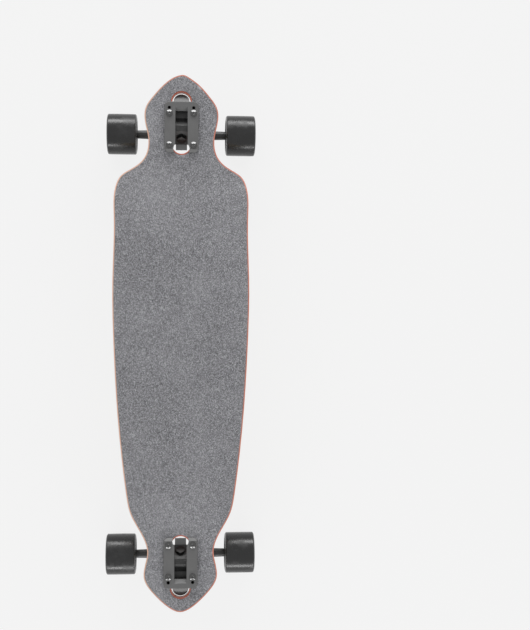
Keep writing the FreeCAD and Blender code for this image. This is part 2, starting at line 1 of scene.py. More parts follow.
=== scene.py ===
"""Looks of a drop-through longboard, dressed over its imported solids.

Metres, in the solids' own frame: +X towards the nose, +Y to the left, +Z up, with the ground at zero.
"""
import bpy
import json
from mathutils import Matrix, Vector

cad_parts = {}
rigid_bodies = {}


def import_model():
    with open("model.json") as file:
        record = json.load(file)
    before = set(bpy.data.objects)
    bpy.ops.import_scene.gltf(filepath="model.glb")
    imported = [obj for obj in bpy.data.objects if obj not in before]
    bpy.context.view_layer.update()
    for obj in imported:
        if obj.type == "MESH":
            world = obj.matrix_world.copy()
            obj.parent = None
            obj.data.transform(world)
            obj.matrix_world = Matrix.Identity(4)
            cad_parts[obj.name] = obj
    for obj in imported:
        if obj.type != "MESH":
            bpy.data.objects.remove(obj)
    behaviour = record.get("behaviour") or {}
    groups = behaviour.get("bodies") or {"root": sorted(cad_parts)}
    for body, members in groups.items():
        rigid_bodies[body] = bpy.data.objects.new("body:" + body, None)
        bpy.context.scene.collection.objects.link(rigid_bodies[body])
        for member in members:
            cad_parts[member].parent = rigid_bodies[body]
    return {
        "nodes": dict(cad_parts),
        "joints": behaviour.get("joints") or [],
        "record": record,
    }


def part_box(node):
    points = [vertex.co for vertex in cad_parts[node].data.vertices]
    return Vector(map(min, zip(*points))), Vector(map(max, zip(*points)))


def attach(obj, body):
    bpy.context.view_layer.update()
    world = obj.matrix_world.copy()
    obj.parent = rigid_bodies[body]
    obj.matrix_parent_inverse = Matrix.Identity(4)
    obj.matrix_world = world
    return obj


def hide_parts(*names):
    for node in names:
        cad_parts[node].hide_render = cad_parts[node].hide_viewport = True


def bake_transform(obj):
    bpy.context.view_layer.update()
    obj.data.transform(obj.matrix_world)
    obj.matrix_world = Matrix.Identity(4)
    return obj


for leftover in list(bpy.data.objects):
    bpy.data.objects.remove(leftover)
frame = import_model()

import json
import logging
import math
from dataclasses import dataclass
from enum import Enum
from typing import Sequence

import bmesh
import numpy as np
from mathutils import Matrix, Vector

log = logging.getLogger("longboard")

Array = np.ndarray
Colour = tuple[float, float, float]
Node = bpy.types.Node
Outputs = bpy.types.NodeOutputs
Mesh = bpy.types.Mesh
Piece = bpy.types.Object
Socket = bpy.types.NodeSocket
Value = float | Sequence[float] | Socket
Inputs = dict[str, Value]
Patches = tuple[float, float, float]  # scale of soft patches, and the noise levels where they start and fill
Relief = tuple[float, float]  # distance and strength of a bump
Pair = tuple[float, float]  # values at the start and end of a step

MM = 0.001
MERGE_DISTANCE = 0.005 * MM
FLAT_ANGLE = math.radians(0.4)
EDGE_ANGLE = math.radians(32)
CORNER_ROOM = 0.49
WHEEL_PLACE = "wheel_place"
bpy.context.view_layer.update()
AXLE_STATIONS = tuple(sum(corner[0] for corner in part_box(node)) / 2 for node in ("front_axle", "rear_axle"))


class End(Enum):
    """Ends of the board that carry a truck."""

    FRONT = "front"
    REAR = "rear"


class Side(Enum):
    """Sides of a truck that carry a wheel."""

    LEFT = "left"
    RIGHT = "right"


class Grain(Enum):
    """Directions that a ply's grain runs in, as the stretch of its pattern."""

    ALONG = (7.0, 150.0, 150.0)
    ACROSS = (150.0, 7.0, 150.0)


class Ink(Enum):
    """Colours of the chevrons on the underside."""

    BLACK = (0.025, 0.025, 0.028)
    WHITE = (0.86, 0.86, 0.84)
    RED = (0.8, 0.13, 0.17)
    PINK = (0.86, 0.33, 0.36)
    YELLOW = (0.86, 0.6, 0.05)
    GREEN = (0.36, 0.55, 0.035)
    MINT = (0.36, 0.7, 0.46)


def grey(level: float, blue: float = 0.0) -> Colour:
    """Neutral colour of one level, with a touch of blue if asked."""
    return (level, level, level * (1 + blue))


class NodeBench:
    """Adds nodes to one shader tree and links them."""

    def __init__(self, tree: bpy.types.NodeTree) -> None:
        """Keep the tree to work on."""
        self.tree = tree

    def feed(self, socket: Socket, value: Value) -> None:
        """Link a socket into an input, or set the input's own value.

        Args:
            socket: input to feed.
            value: socket, number, vector or colour; a colour is set as opaque.
        """
        if isinstance(value, Socket):
            self.tree.links.new(value, socket)
        else:
            socket.default_value = (*value, 1.0) if socket.type == "RGBA" else value

    def fill(self, node: Node, inputs: Inputs) -> None:
        """Feed several inputs of a node by name, with _ or a space in the name."""
        for name, value in inputs.items():
            self.feed(node.inputs[name.replace("_", " ")], value)

    def add(self, kind: str, settings: dict[str, object] | None = None, **inputs: Value) -> Node:
        """Add one node.

        Args:
            kind: Blender's name of the node's type.
            settings: properties to set on the node itself.
            inputs: values or sockets by input name, with _ for a space.

        Returns:
            The new node.
        """
        node = self.tree.nodes.new(kind)
        for name, value in (settings or {}).items():
            setattr(node, name, value)
        self.fill(node, inputs)
        return node

    def math(self, operation: str, *values: Value, clamp: bool = False) -> Socket:
        """Do one arithmetic step.

        Args:
            operation: Blender's name of the step.
            values: numbers or sockets to work on.
            clamp: whether the result is kept between 0 and 1.

        Returns:
            The result's socket.
        """
        node = self.add("ShaderNodeMath", {"operation": operation, "use_clamp": clamp})
        for socket, value in zip(node.inputs, values):
            self.feed(socket, value)
        return node.outputs[0]

    def times(self, first: Value, second: Value) -> Socket:
        """Product of two values, which is also where two masks overlap."""
        return self.math("MULTIPLY", first, second)

    def most(self, first: Value, second: Value) -> Socket:
        """The larger of two values."""
        return self.math("MAXIMUM", first, second)

    def size(self, value: Value) -> Socket:
        """A value without its sign."""
        return self.math("ABSOLUTE", value)

    def cycle(self, value: Value) -> Socket:
        """Distance of a value from the middle of its unit cycle."""
        return self.size(self.math("SUBTRACT", self.math("FRACT", value), 0.5))

    def between(self, value: Value, low: float, high: float) -> Socket:
        """Mask of the values between two limits."""
        return self.times(self.math("GREATER_THAN", value, low), self.math("LESS_THAN", value, high))

    def mix(self, factor: Value, first: Value, second: Value) -> Socket:
        """Blend two colours.

        Args:
            factor: share of the second colour.
            first: colour at factor 0.
            second: colour at factor 1.

        Returns:
            The blend's socket.
        """
        node = self.add("ShaderNodeMix", {"data_type": "RGBA", "clamp_factor": True})
        for index, value in ((0, factor), (6, first), (7, second)):
            self.feed(node.inputs[index], value)
        return node.outputs[2]

    def span(self, value: Value, start: Value, end: Value, low: float = 0.0, high: float = 1.0) -> Socket:
        """Smooth step of a value: low at start, high at end."""
        return self.add("ShaderNodeMapRange", {"interpolation_type": "SMOOTHSTEP"}, Value=value,
                        From_Min=start, From_Max=end, To_Min=low, To_Max=high).outputs[0]

    def bands(self, value: Value, stops: Sequence[tuple[float, Colour]], stepped: bool = False) -> Socket:
        """Look a colour up along a ramp.

        Args:
            value: place on the ramp.
            stops: position and colour of each stop.
            stepped: whether the colours change in plain steps.

        Returns:
            The colour's socket.
        """
        node = self.add("ShaderNodeValToRGB", Fac=value)
        ramp = node.color_ramp
        ramp.interpolation = "CONSTANT" if stepped else "LINEAR"
        while len(ramp.elements) < len(stops):
            ramp.elements.new(1.0)
        for element, (position, colour) in zip(ramp.elements, stops):
            element.position = position
            element.color = (*colour, 1.0)
        return node.outputs[0]

    def noise(self, place: Value, scale: Value, **inputs: Value) -> Socket:
        """Fractal noise at a place."""
        return self.add("ShaderNodeTexNoise", Vector=place, Scale=scale, **inputs).outputs[0]

    def place(self, stretch: Sequence[float] = (1.0, 1.0, 1.0)) -> Socket:
        """Object coordinates, stretched by a factor on each axis."""
        source = self.add("ShaderNodeTexCoord").outputs["Object"]
        return self.add("ShaderNodeMapping", Vector=source, Scale=stretch).outputs[0]

    def parts(self, vector: Value) -> tuple[Socket, Socket, Socket]:
        """The three coordinates of a vector."""
        return tuple(self.add("ShaderNodeSeparateXYZ", Vector=vector).outputs)

    def distance(self, place: Value, spot: Value = (0.0, 0.0, 0.0)) -> Socket:
        """Distance of a place from a spot, or from the origin.

        Args:
            place: vector to measure from.
            spot: vector to measure to.

        Returns:
            The distance's socket.
        """
        node = self.add("ShaderNodeVectorMath", {"operation": "DISTANCE"})
        self.feed(node.inputs[0], place)
        self.feed(node.inputs[1], spot)
        return node.outputs["Value"]

    def upward(self) -> Socket:
        """How far a face looks up: 1 on a level top, -1 on an underside."""
        return self.parts(self.add("ShaderNodeNewGeometry").outputs["Normal"])[2]

    def outward(self) -> Socket:
        """Station along the board from the nearer axle, growing towards that end of the board.

        Returns:
            Socket of |x - middle of the axles| - half their distance.
        """
        front, rear = AXLE_STATIONS
        along = self.parts(self.place())[0]
        from_middle = self.size(self.math("SUBTRACT", along, (front + rear) / 2))
        return self.math("SUBTRACT", from_middle, (front - rear) / 2)

    def bump(self, height: Value, distance: float, strength: float, under: Value | None = None) -> Socket:
        """Make a bump.

        Args:
            height: height over the surface.
            distance: what a height of 1 stands for.
            strength: share of the bump that shows.
            under: normal of another bump that this one lies on.

        Returns:
            The normal's socket.
        """
        node = self.add("ShaderNodeBump", Height=height, Distance=distance, Strength=strength)
        if under is not None:
            self.feed(node.inputs["Normal"], under)
        return node.outputs[0]


class SharedEffect:
    """A shader node group that several finishes place with their own values."""

    title = ""
    inputs: tuple[str, ...] = ("Vector", "Scale")
    outputs: tuple[str, ...] = ("Mask",)

    def wire(self, bench: NodeBench, given: Outputs) -> dict[str, Socket]:
        """Wire the group.

        Args:
            bench: bench on the group's tree.
            given: the group's inputs.

        Returns:
            Sockets for the group's outputs, by name.
        """
        raise NotImplementedError

    def tree(self) -> bpy.types.NodeTree:
        """The group's tree, made once.

        Returns:
            The tree, with a vector input for the place and numbers for the rest.
        """
        found = bpy.data.node_groups.get(self.title)
        if found:
            return found
        made = bpy.data.node_groups.new(self.title, "ShaderNodeTree")
        for name in self.inputs:
            kind = "NodeSocketVector" if name == "Vector" else "NodeSocketFloat"
            made.interface.new_socket(name, in_out="INPUT", socket_type=kind)
        for name in self.outputs:
            made.interface.new_socket(name, in_out="OUTPUT", socket_type="NodeSocketFloat")
        bench = NodeBench(made)
        entry = bench.add("NodeGroupInput")
        leave = bench.add("NodeGroupOutput")
        bench.fill(leave, self.wire(bench, entry.outputs))
        return made

    def on(self, bench: NodeBench, *values: Value) -> Outputs:
        """Place the group in a material with values for its inputs in order, and give back its outputs."""
        inputs = dict(zip(self.inputs, values))
        return bench.add("ShaderNodeGroup", {"node_tree": self.tree()}, **inputs).outputs


class Grit(SharedEffect):
    """Small grains: a random tone for each and a dome for its height."""

    title = "grit grains"
    outputs = ("Tone", "Height")

    def wire(self, bench: NodeBench, given: Outputs) -> dict[str, Socket]:
        """Cell noise: the cell's random colour is the tone, and nearness to its middle is the height.

        Args:
            bench: bench on the group's tree.
            given: the group's inputs.

        Returns:
            Sockets for the group's outputs, by name.
        """
        cells = bench.add("ShaderNodeTexVoronoi", Vector=given["Vector"], Scale=given["Scale"]).outputs
        tone = bench.add("ShaderNodeSeparateColor", Color=cells["Color"]).outputs[0]
        return {"Tone": tone, "Height": bench.math("SUBTRACT", 1.0, cells["Distance"], clamp=True)}


class Blotch(SharedEffect):
    """Soft uneven patches, for dust, wear and uneven tone."""

    title = "soft patches"
    inputs = ("Vector", "Scale", "Low", "High")

    def wire(self, bench: NodeBench, given: Outputs) -> dict[str, Socket]:
        """Fractal noise, stepped smoothly from nothing at Low to all at High."""
        noise = bench.noise(given["Vector"], given["Scale"], Detail=6.0, Roughness=0.62)
        return {"Mask": bench.span(noise, given["Low"], given["High"])}


class Fibre(SharedEffect):
    """Wood fibre on coordinates that are already stretched along the grain."""

    title = "wood fibre"
    outputs = ("Tone", "Height")
    fine_factor = 4.0
    fine_share = 0.45
    levels: Pair = (0.34, 0.66)

    def wire(self, bench: NodeBench, given: Outputs) -> dict[str, Socket]:
        """Two stretched noises: broad growth bands and fine pores, which also make the height.

        Args:
            bench: bench on the group's tree.
            given: the group's inputs.

        Returns:
            Sockets for the group's outputs, by name.
        """
        broad = bench.noise(given["Vector"], given["Scale"], Detail=3.0, Distortion=0.4)
        fine = bench.noise(given["Vector"], bench.times(given["Scale"], self.fine_factor), Detail=5.0)
        tone = bench.math("MULTIPLY_ADD", fine, self.fine_share, bench.times(broad, 1 - self.fine_share))
        return {"Tone": bench.span(tone, *self.levels), "Height": fine}


class Scuffs(SharedEffect):
    """Hair-fine scratches that run in two directions."""

    title = "fine scuffs"
    lays = ((0.5, (0.12, 1.0, 1.0)), (-0.8, (1.0, 0.1, 1.0)))
    hair_width = 0.012
    break_factor = 0.3
    break_levels: Pair = (0.5, 0.68)

    def wire(self, bench: NodeBench, given: Outputs) -> dict[str, Socket]:
        """Thin level lines of two stretched noises, broken up by a third.

        Args:
            bench: bench on the group's tree.
            given: the group's inputs.

        Returns:
            Sockets for the group's outputs, by name.
        """
        lines = []
        for turn, stretch in self.lays:
            laid = bench.add("ShaderNodeMapping", Vector=given["Vector"], Rotation=(0.0, 0.0, turn),
                             Scale=stretch)
            noise = bench.noise(laid.outputs[0], given["Scale"], Detail=2.0)
            level = bench.size(bench.math("SUBTRACT", noise, 0.5))
            lines.append(bench.span(level, 0.0, self.hair_width, 1.0, 0.0))
        breaks = bench.noise(given["Vector"], bench.times(given["Scale"], self.break_factor))
        return {"Mask": bench.times(bench.most(*lines), bench.span(breaks, *self.break_levels))}


@dataclass(frozen=True)
class Finish:
    """A surface finish: a material's name and the record's slot that it belongs to."""

    name: str
    slot: str

    def shade(self, bench: NodeBench) -> Inputs:
        """Work the finish out.

        Args:
            bench: bench on the material's tree.

        Returns:
            What the inputs of the material's shader get, by name.
        """
        raise NotImplementedError

    def material(self) -> bpy.types.Material:
        """The finish as a material, made once.

        Returns:
            The material.
        """
        made = bpy.data.materials.get(self.name)
        if not made:
            made = bpy.data.materials.new(self.name)
            made.use_nodes = True
            bench = NodeBench(made.node_tree)
            bench.fill(made.node_tree.nodes["Principled BSDF"], self.shade(bench))
        return made


@dataclass(frozen=True)
class GripSheet(Finish):
    """Coarse grit on a dark backing."""

    dark: Colour = grey(0.06, 0.05)
    middle: Colour = grey(0.215, 0.06)
    light: Colour = grey(0.6, 0.05)
    specular: float = 0.35
    fine_scale: float = 1400.0
    coarse_scale: float = 700.0
    coarse_share: float = 0.4
    wear: Patches = (9.0, 0.35, 0.75)
    wear_share: float = 0.16
    rubbed_place: tuple[float, float, float] = (0.437, -0.032, 0.09)
    rubbed_radius: float = 0.006
    rubbed_core: float = 0.2
    rubbed_cover: float = 0.75
    rough: Pair = (0.95, 0.62)
    relief: Relief = (0.0006, 0.6)

    def shade(self, bench: NodeBench) -> Inputs:
        """Tone from two sizes of grain over soft patches, with the fine grains standing up.

        Args:
            bench: bench on the material's tree.

        Returns:
            What the inputs of the material's shader get, by name.
        """
        place = bench.place()
        fine = Grit().on(bench, place, self.fine_scale)
        coarse = bench.times(Grit().on(bench, place, self.coarse_scale)["Tone"], self.coarse_share)
        tone = bench.math("MULTIPLY_ADD", fine["Tone"], 1 - self.coarse_share, coarse)
        grains = bench.bands(tone, ((0.0, self.dark), (0.5, self.middle), (1.0, self.light)))
        worn = Blotch().on(bench, place, *self.wear)["Mask"]
        aside = bench.distance(place, self.rubbed_place)
        core = self.rubbed_core * self.rubbed_radius
        rubbed = bench.span(aside, core, self.rubbed_radius, self.rubbed_cover, 0.0)
        pale = bench.most(rubbed, bench.times(worn, self.wear_share))
        return {"Base Color": bench.mix(pale, grains, self.light), "Specular IOR Level": self.specular,
                "Roughness": bench.span(fine["Tone"], 0.0, 1.0, *self.rough),
                "Normal": bench.bump(fine["Height"], *self.relief)}


@dataclass(frozen=True)
class Veneer(Finish):
    """Stained or clear wood with its fibre, under satin lacquer."""

    light: Colour = (0.8, 0.7, 0.45)
    dark: Colour = (0.64, 0.5, 0.28)
    grain: Grain = Grain.ALONG
    fibre_scale: float = 4.0
    unevenness: Patches = (22.0, 0.3, 0.8)
    uneven_share: float = 0.25
    cut_red: Colour = (0.72, 0.16, 0.09)
    cut_cover: float = 0.85
    cut_start: float = -0.055
    cut_end: float = 0.068
    cut_half_width: float = 0.019
    # dark colour round the spare bolt holes in the plies: painted shade
    hole_painted_shade: Colour = grey(0.01)
    hole_place: tuple[float, float] = (0.0365, 0.02065)
    hole_radius: float = 0.0034
    # colour and share of the paler tone towards the left
    pale_tone: Colour = (0.86, 0.66, 0.5)
    left_paling: float = 0.0
    paling_reach: float = 0.06
    pores: Pair = (0.3, 0.7)
    rough: Pair = (0.5, 0.36)
    relief: Relief = (0.0002, 0.35)

    def shade(self, bench: NodeBench) -> Inputs:
        """Two tones by the fibre under an uneven stain, paler towards the left; the cut-outs' walls are red.

        Args:
            bench: bench on the material's tree.

        Returns:
            What the inputs of the material's shader get, by name.
        """
        place = bench.place()
        fibre = Fibre().on(bench, bench.place(self.grain.value), self.fibre_scale)
        stain = Blotch().on(bench, place, *self.unevenness)["Mask"]
        wood = bench.mix(fibre["Tone"], self.dark, self.light)
        even = bench.mix(bench.times(stain, self.uneven_share), wood, self.light)
        outward = bench.outward()
        across = bench.parts(place)[1]
        aside = bench.size(across)
        # paler towards the left side
        paled = bench.mix(bench.span(across, 0.0, self.paling_reach, 0.0, self.left_paling), even, self.pale_tone)
        # walls of the cut-outs are coloured red
        cut = bench.times(bench.between(outward, self.cut_start, self.cut_end),
                          bench.math("LESS_THAN", aside, self.cut_half_width))
        painted = bench.mix(bench.times(cut, self.cut_cover), paled, self.cut_red)
        # dark spots on the plies round the spare bolt holes: painted shade
        hole = bench.times(*(bench.between(part, middle - self.hole_radius, middle + self.hole_radius)
                             for part, middle in zip((outward, aside), self.hole_place)))
        return {"Base Color": bench.mix(hole, painted, self.hole_painted_shade),
                "Roughness": bench.span(fibre["Height"], *self.pores, *self.rough),
                "Normal": bench.bump(fibre["Height"], *self.relief)}


@dataclass(frozen=True)
class PrintedVeneer(Finish):
    """Painted underside: pale ground, hairlines and a block of plain chevrons, with a stained edge."""

    ground: Colour = (0.56, 0.55, 0.56)
    faded: Colour = grey(0.68)
    fading: Patches = (14.0, 0.25, 0.85)
    scuffed: Colour = grey(0.7)
    scuff_share: float = 0.35
    scuff_scale: float = 90.0
    hairline: Colour = (0.17, 0.17, 0.18)
    hairline_pitch: float = 0.021
    hairline_edge: Pair = (0.015, 0.035)
    hairline_cover: float = 0.7
    underneath: Pair = (-0.75, -0.45)
    edge_depth: float = 0.7
    rough: Pair = (0.34, 0.6)
    edge: Colour = (0.78, 0.31, 0.12)
    fibre_scale: float = 4.0
    relief: Relief = (0.00012, 0.2)
    coat: float = 0.25
    coat_roughness: float = 0.12
    slope: float = 0.62
    half_length: float = 0.215
    chevrons: tuple[tuple[float, Ink], ...] = (
        (0.0, Ink.BLACK), (0.035, Ink.RED), (0.17, Ink.WHITE), (0.2, Ink.MINT), (0.28, Ink.BLACK),
        (0.31, Ink.YELLOW), (0.39, Ink.WHITE), (0.42, Ink.GREEN), (0.55, Ink.BLACK), (0.58, Ink.PINK),
        (0.7, Ink.WHITE), (0.73, Ink.MINT), (0.83, Ink.GREEN), (0.9, Ink.RED), (0.965, Ink.BLACK))

    def shade(self, bench: NodeBench) -> Inputs:
        """Chevron station = x + slope |y|; hairlines repeat on a slant; upright faces take the edge stain.

        Args:
            bench: bench on the material's tree.

        Returns:
            What the inputs of the material's shader get, by name.
        """
        place = bench.place()
        along, across, _ = bench.parts(place)
        aside = bench.size(across)
        station = bench.math("MULTIPLY_ADD", aside, self.slope, along)
        share = bench.math("MULTIPLY_ADD", station, 0.5 / self.half_length, 0.5)
        inside = bench.math("LESS_THAN", bench.size(station), self.half_length)
        block = bench.bands(share, [(stop, ink.value) for stop, ink in self.chevrons], stepped=True)
        slant = bench.math("MULTIPLY_ADD", aside, -self.slope, along)
        cycle = bench.cycle(bench.math("DIVIDE", slant, self.hairline_pitch))
        line = bench.span(cycle, *self.hairline_edge, self.hairline_cover, 0.0)
        pale = bench.mix(Blotch().on(bench, place, *self.fading)["Mask"], self.ground, self.faded)
        lined = bench.mix(line, pale, self.hairline)
        scuffs = Scuffs().on(bench, place, self.scuff_scale)["Mask"]
        artwork = bench.mix(inside, lined, block)
        printed = bench.mix(bench.times(scuffs, self.scuff_share), artwork, self.scuffed)
        below = bench.span(bench.upward(), *self.underneath, 1.0, 0.0)
        fibre = Fibre().on(bench, bench.place(Grain.ALONG.value), self.fibre_scale)
        stained = bench.mix(fibre["Tone"], tuple(self.edge_depth * part for part in self.edge), self.edge)
        return {"Base Color": bench.mix(below, stained, printed),
                "Coat Weight": self.coat, "Coat Roughness": self.coat_roughness,
                "Roughness": bench.span(scuffs, 0.0, 1.0, *self.rough),
                "Normal": bench.bump(fibre["Height"], *self.relief)}


@dataclass(frozen=True)
class Paint(Finish):
    """Baked paint on a casting, with a little peel, dust and rubbed patches."""

    colour: Colour = grey(0.1)
    dust: Colour = grey(0.2)
    roughness: float = 0.42
    wear: float = 0.3
    dulling: float = 0.16
    dusting: Patches = (70.0, 0.45, 0.8)
    scuff_scale: float = 160.0
    peel_scale: float = 650.0
    relief: Relief = (0.00012, 0.3)

    def tint(self, bench: NodeBench) -> Value:
        """Colour of the paint before dust and wear."""
        return self.colour

    def shade(self, bench: NodeBench) -> Inputs:
        """Base colour dusted in soft patches; the peel of the paint is a fine bump.

        Args:
            bench: bench on the material's tree.

        Returns:
            What the inputs of the material's shader get, by name.
        """
        place = bench.place()
        dusty = Blotch().on(bench, place, *self.dusting)["Mask"]
        peel = Grit().on(bench, place, self.peel_scale)["Height"]
        worn = bench.most(dusty, Scuffs().on(bench, place, self.scuff_scale)["Mask"])
        return {"Base Color": bench.mix(bench.times(worn, self.wear), self.tint(bench), self.dust),
                "Roughness": bench.span(dusty, 0.0, 1.0, self.roughness, self.roughness + self.dulling),
                "Normal": bench.bump(peel, *self.relief)}


@dataclass(frozen=True)
class PlatePaint(Paint):
    """Baseplate paint: grey on the flange's high top faces as painted top light, black on its walls and in
    its channel as painted shade.
    """

    # colour of the walls, the channel and the low faces: painted shade
    painted_shade: Colour = grey(0.012)
    low_height: float = 0.079
    open_height: float = 0.0885
    facing_up: Pair = (0.45, 0.75)
    channel_half_width: float = 0.0106
    channel_end: float = 0.0322
    channel_start: float = 0.006
    channel_grey: float = 0.35

    def tint(self, bench: NodeBench) -> Value:
        """Grey on high faces that look up as painted top light; black elsewhere and fading to black along the
        channel as painted shade.

        Args:
            bench: bench on the material's tree.

        Returns:
            The colour's socket.
        """
        _, across, height = bench.parts(bench.place())
        outward = bench.outward()
        # high faces that look up turn grey: painted top light
        lit_top = bench.times(bench.span(bench.upward(), *self.facing_up),
                             bench.span(height, self.low_height, self.open_height))
        # inside the channel the grey gives way to black, coming back towards its outer end: painted shade
        channel = bench.times(bench.math("LESS_THAN", outward, self.channel_end),
                              bench.math("LESS_THAN", bench.size(across), self.channel_half_width))
        depth = bench.span(outward, self.channel_start, self.channel_end, 0.0, self.channel_grey)
        kept = bench.span(channel, 0.0, 1.0, 1.0, 0.0)
        return bench.mix(bench.times(lit_top, bench.most(kept, depth)), self.painted_shade, self.colour)


@dataclass(frozen=True)
class Metal(Finish):
    """Bare or blackened steel with fine machining marks and a little tarnish."""

    colour: Colour = grey(0.6)
    tarnish: Colour = grey(0.35)
    roughness: float = 0.25
    metallic: float = 1.0
    specular: float = 0.5
    tarnishing: Patches = (260.0, 0.4, 0.75)
    tarnish_share: float = 0.6
    tarnish_dulling: float = 0.5
    dulling: float = 0.2
    scuff_scale: float = 420.0
    mark_scale: float = 900.0
    relief: Relief = (0.00003, 0.25)

    def shade(self, bench: NodeBench) -> Inputs:
        """Tarnish in patches, scuffs that roughen, and fine marks as a bump.

        Args:
            bench: bench on the material's tree.

        Returns:
            What the inputs of the material's shader get, by name.
        """
        place = bench.place()
        patches = Blotch().on(bench, place, *self.tarnishing)["Mask"]
        scuffs = Scuffs().on(bench, place, self.scuff_scale)["Mask"]
        dulled = bench.most(scuffs, bench.times(patches, self.tarnish_dulling))
        marks = Grit().on(bench, place, self.mark_scale)["Height"]
        return {"Base Color": bench.mix(bench.times(patches, self.tarnish_share), self.colour, self.tarnish),
                "Metallic": self.metallic, "Specular IOR Level": self.specular,
                "Roughness": bench.span(dulled, 0.0, 1.0, self.roughness, self.roughness + self.dulling),
                "Normal": bench.bump(marks, *self.relief)}


@dataclass(frozen=True)
class Moulded(Finish):
    """Moulded urethane or nylon with a soft bloom."""

    colour: Colour = grey(0.05)
    bloom: Colour = grey(0.11)
    roughness: float = 0.45
    blooming: Patches = (150.0, 0.4, 0.75)
    bloom_share: float = 0.7
    dulling: float = 0.15
    skin_scale: float = 1500.0
    relief: Relief = (0.00005, 0.25)

    def shade(self, bench: NodeBench) -> Inputs:
        """Bloom in soft patches and a faint moulded texture.

        Args:
            bench: bench on the material's tree.

        Returns:
            What the inputs of the material's shader get, by name.
        """
        place = bench.place()
        bloom = Blotch().on(bench, place, *self.blooming)["Mask"]
        skin = Grit().on(bench, place, self.skin_scale)["Height"]
        return {"Base Color": bench.mix(bench.times(bloom, self.bloom_share), self.colour, self.bloom),
                "Roughness": bench.span(bloom, 0.0, 1.0, self.roughness, self.roughness + self.dulling),
                "Normal": bench.bump(skin, *self.relief)}


@dataclass(frozen=True)
class WheelUrethane(Finish):
    """Cast wheel: dusty ground tread, grey rounded lip, black face with a ring of plain printed ticks."""

    face: Colour = grey(0.012)
    lip: Colour = grey(0.075)
    tread: Colour = grey(0.006, 0.05)
    dust: Colour = grey(0.07, 0.03)
    ink: Colour = grey(0.82)
    face_radius: float = 0.0283
    face_blend: float = 0.0002
    tread_radius: float = 0.0345
    tread_blend: float = 0.0012
    ink_inner: float = 0.0196
    ink_outer: float = 0.0224
    tick_count: float = 22.0
    tick_edge: Pair = (0.2, 0.23)
    roughness: float = 0.25
    dulling: float = 0.2
    specular: float = 0.46
    dusting: Patches = (52.0, 0.44, 0.72)
    tread_dust: float = 0.24
    lip_dust: float = 0.3
    speck_scale: float = 420.0
    speck_levels: Pair = (0.1, 0.95)
    speck_dust: Pair = (0.35, 1.0)
    speck_relief: Relief = (0.00012, 0.4)
    ring_scale: float = 1600.0
    ring_levels: Pair = (0.45, 0.75)
    ring_share: float = 0.22
    ring_relief: Relief = (0.00008, 0.35)

    def shade(self, bench: NodeBench) -> Inputs:
        """Zones by the distance from the axle; ticks by the turn about it, on the outer face alone.

        Args:
            bench: bench on the material's tree.

        Returns:
            What the inputs of the material's shader get, by name.
        """
        own = bench.add("ShaderNodeAttribute", {"attribute_name": WHEEL_PLACE}).outputs["Vector"]
        first, second, station = bench.parts(own)
        radius = bench.math("SQRT", bench.math("MULTIPLY_ADD", first, first, bench.times(second, second)))
        turn = bench.math("DIVIDE", bench.math("ARCTAN2", second, first), 2 * math.pi)
        place = bench.place()
        on_tread = bench.span(radius, self.tread_radius - self.tread_blend, self.tread_radius)
        on_lip = bench.span(radius, self.face_radius - self.face_blend, self.face_radius + self.face_blend)
        dusty = Blotch().on(bench, place, *self.dusting)["Mask"]
        specks = Grit().on(bench, place, self.speck_scale)
        rings = bench.add("ShaderNodeTexNoise", {"noise_dimensions": "1D"}, W=station, Scale=self.ring_scale,
                          Detail=3.0).outputs[0]
        patchy = bench.times(dusty, bench.span(specks["Tone"], *self.speck_levels, *self.speck_dust))
        scraped = bench.math("MULTIPLY_ADD", bench.span(rings, *self.ring_levels), self.ring_share, patchy)
        ground = bench.mix(bench.times(scraped, self.tread_dust), self.tread, self.dust)
        rim = bench.mix(bench.times(dusty, self.lip_dust), self.lip, self.dust)
        body = bench.mix(on_tread, bench.mix(on_lip, self.face, rim), ground)
        tick = bench.span(bench.cycle(bench.times(turn, self.tick_count)), *self.tick_edge, 1.0, 0.0)
        ring = bench.times(tick, bench.between(radius, self.ink_inner, self.ink_outer))
        printed = bench.times(ring, bench.math("GREATER_THAN", station, 0.0))
        scored = bench.bump(rings, *self.ring_relief)
        return {"Base Color": bench.mix(printed, body, self.ink), "Specular IOR Level": self.specular,
                "Roughness": bench.math("MULTIPLY_ADD", dusty, self.dulling, self.roughness),
                "Normal": bench.bump(specks["Height"], *self.speck_relief, scored)}


GRIP = GripSheet("Grip grit", "grip")
RED_VENEER = Veneer("Red stained veneer", "red_veneer", (0.8, 0.31, 0.22), (0.68, 0.22, 0.15), left_paling=0.6)
MAPLE = Veneer("Clear maple", "maple", (0.84, 0.74, 0.47), (0.7, 0.57, 0.32))
CROSS_MAPLE = Veneer("Cross maple", "cross_maple", (0.78, 0.64, 0.37), (0.6, 0.45, 0.23), Grain.ACROSS)
UNDERSIDE = PrintedVeneer("Printed underside", "underside")
# The grey flange top of this paint is painted top light; its black walls and channel are painted shade.
PLATE_PAINT = PlatePaint("Baseplate paint", "truck_paint", grey(0.125), grey(0.19), 0.44, 0.3)
# Near-black eased edges of the baseplate: painted shade lines along every edge.
PLATE_EDGE_SHADE = PlatePaint("Baseplate fresh edge", "truck_paint", grey(0.02), grey(0.09), 0.36, 0.4)
HANGER_PAINT = Paint("Hanger paint", "truck_paint", grey(0.022), grey(0.075), 0.36, 0.45)
BLACK_STEEL = Metal("Black bolt steel", "black_steel", grey(0.01), grey(0.018), 0.1, 0.0, 1.0)
KINGPIN_STEEL = Metal("Black kingpin steel", "black_steel", grey(0.01), grey(0.02), 0.4, 0.0, 0.3)
ZINC = Metal("Zinc plate", "zinc_steel", grey(0.6), grey(0.38), 0.27)
AXLE_STEEL = Metal("Ground axle steel", "axle_steel", grey(0.55), grey(0.4), 0.3)
BEARING_STEEL = Metal("Bearing steel", "bearing_steel", grey(0.68), grey(0.5), 0.16)
SHIELD = Moulded("Bearing seal", "bearing_shield", grey(0.016), grey(0.035), 0.4)
